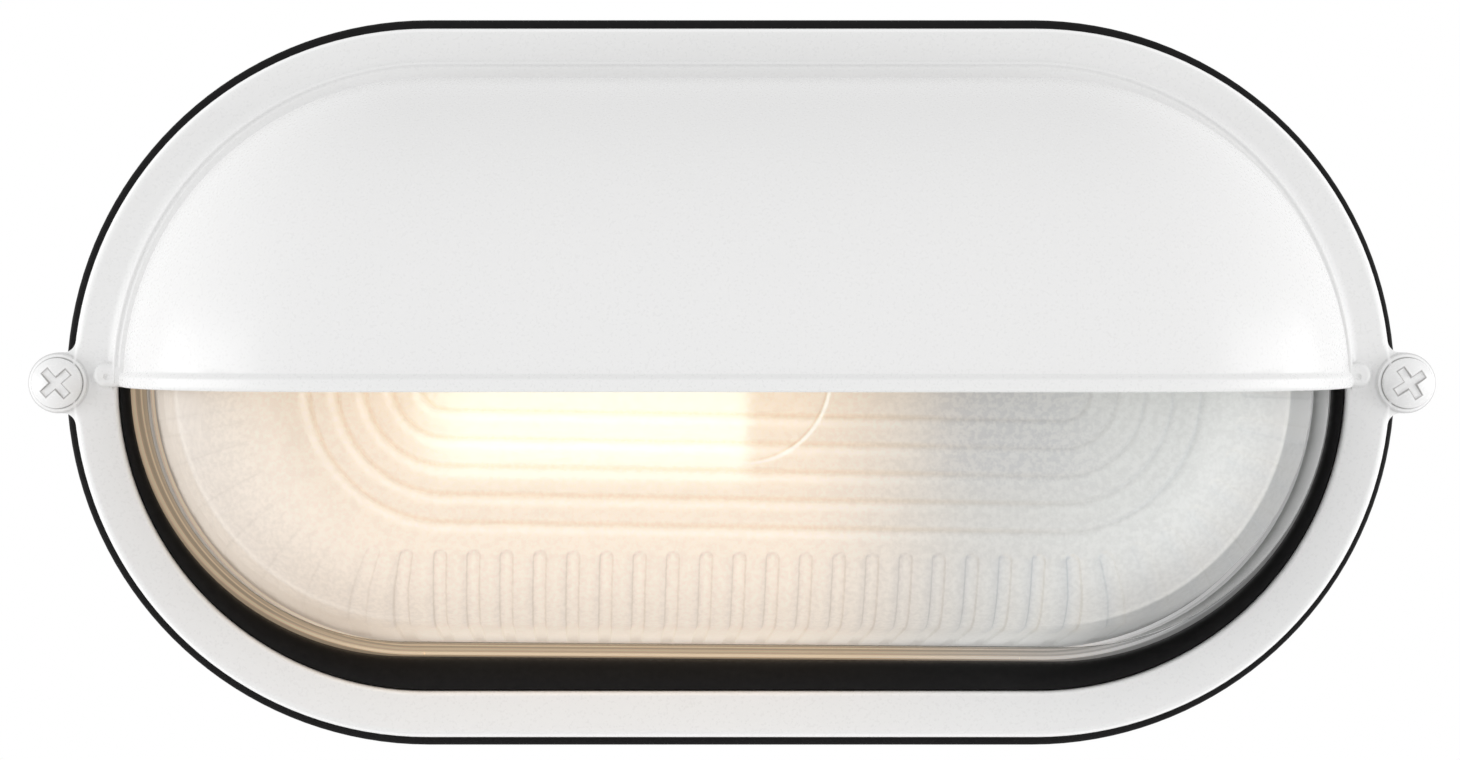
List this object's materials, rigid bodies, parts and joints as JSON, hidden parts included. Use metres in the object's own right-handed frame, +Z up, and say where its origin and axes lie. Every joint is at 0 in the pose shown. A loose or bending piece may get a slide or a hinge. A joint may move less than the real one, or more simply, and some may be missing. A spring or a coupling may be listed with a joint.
{
  "type": "outdoor wall light",
  "caption": "Oval bulkhead wall light with a half hood over ribbed frosted glass, a screwed cover, a gasket, and a cast base holding a lampholder and bulb.",
  "frame": {"origin": "on the wall plane, midway between the two fixing slots, behind the middle of the light", "axes": "+X to the right along the wall, +Z up the wall, +Y into the wall; the light faces -Y"},
  "size_m": [0.2162, 0.0931, 0.1124],
  "materials": {
    "white_casting": "satin",
    "black_rubber": "matte",
    "frosted_glass": "satin",
    "white_screw": "gloss",
    "natural_nylon": "satin",
    "bulb_glass": "satin",
    "porcelain": "gloss",
    "brass": "satin",
    "zinc_steel": "satin",
    "white_plastic": "satin",
    "black_insulation": "satin",
    "white_insulation": "satin",
    "green_insulation": "satin",
    "green_steel": "satin"
  },
  "bodies": {
    "base": {"base_housing": "white_casting", "cable_grommet": "black_rubber", "bulb": "bulb_glass", "lampholder_body": "porcelain", "lampholder_shell": "brass", "lampholder_contact": "brass", "lampholder_terminal_screws": "brass", "lampholder_screws": "zinc_steel", "lampholder_bracket": "zinc_steel", "bracket_screws": "zinc_steel", "terminal_block": "white_plastic", "terminal_inserts": "brass", "terminal_screws": "zinc_steel", "terminal_block_screw": "zinc_steel", "live_lead": "black_insulation", "neutral_lead": "white_insulation", "earth_lead": "green_insulation", "earth_ring_terminal": "zinc_steel", "earth_washer": "zinc_steel", "earth_screw": "green_steel"},
    "cover": {"cover_frame": "white_casting", "glass_lens": "frosted_glass", "cover_gasket": "black_rubber", "screw_retainer_left": "natural_nylon", "screw_retainer_right": "natural_nylon"},
    "screw_left": {"cover_screw_left": "white_screw"},
    "screw_right": {"cover_screw_right": "white_screw"}
  },
  "joints": [
    {"name": "cover_slide", "type": "slide", "parent": "base", "child": "cover", "axis": [0, -1, 0], "range_m": [0, 0.1]},
    {"name": "cover_screw_left_turn", "type": "hinge", "parent": "cover", "child": "screw_left", "pos_m": [-0.1034, -0.04, 0], "axis": [0, -1, 0], "continuous": true},
    {"name": "cover_screw_right_turn", "type": "hinge", "parent": "cover", "child": "screw_right", "pos_m": [0.1034, -0.04, 0], "axis": [0, -1, 0], "continuous": true}
  ]
}
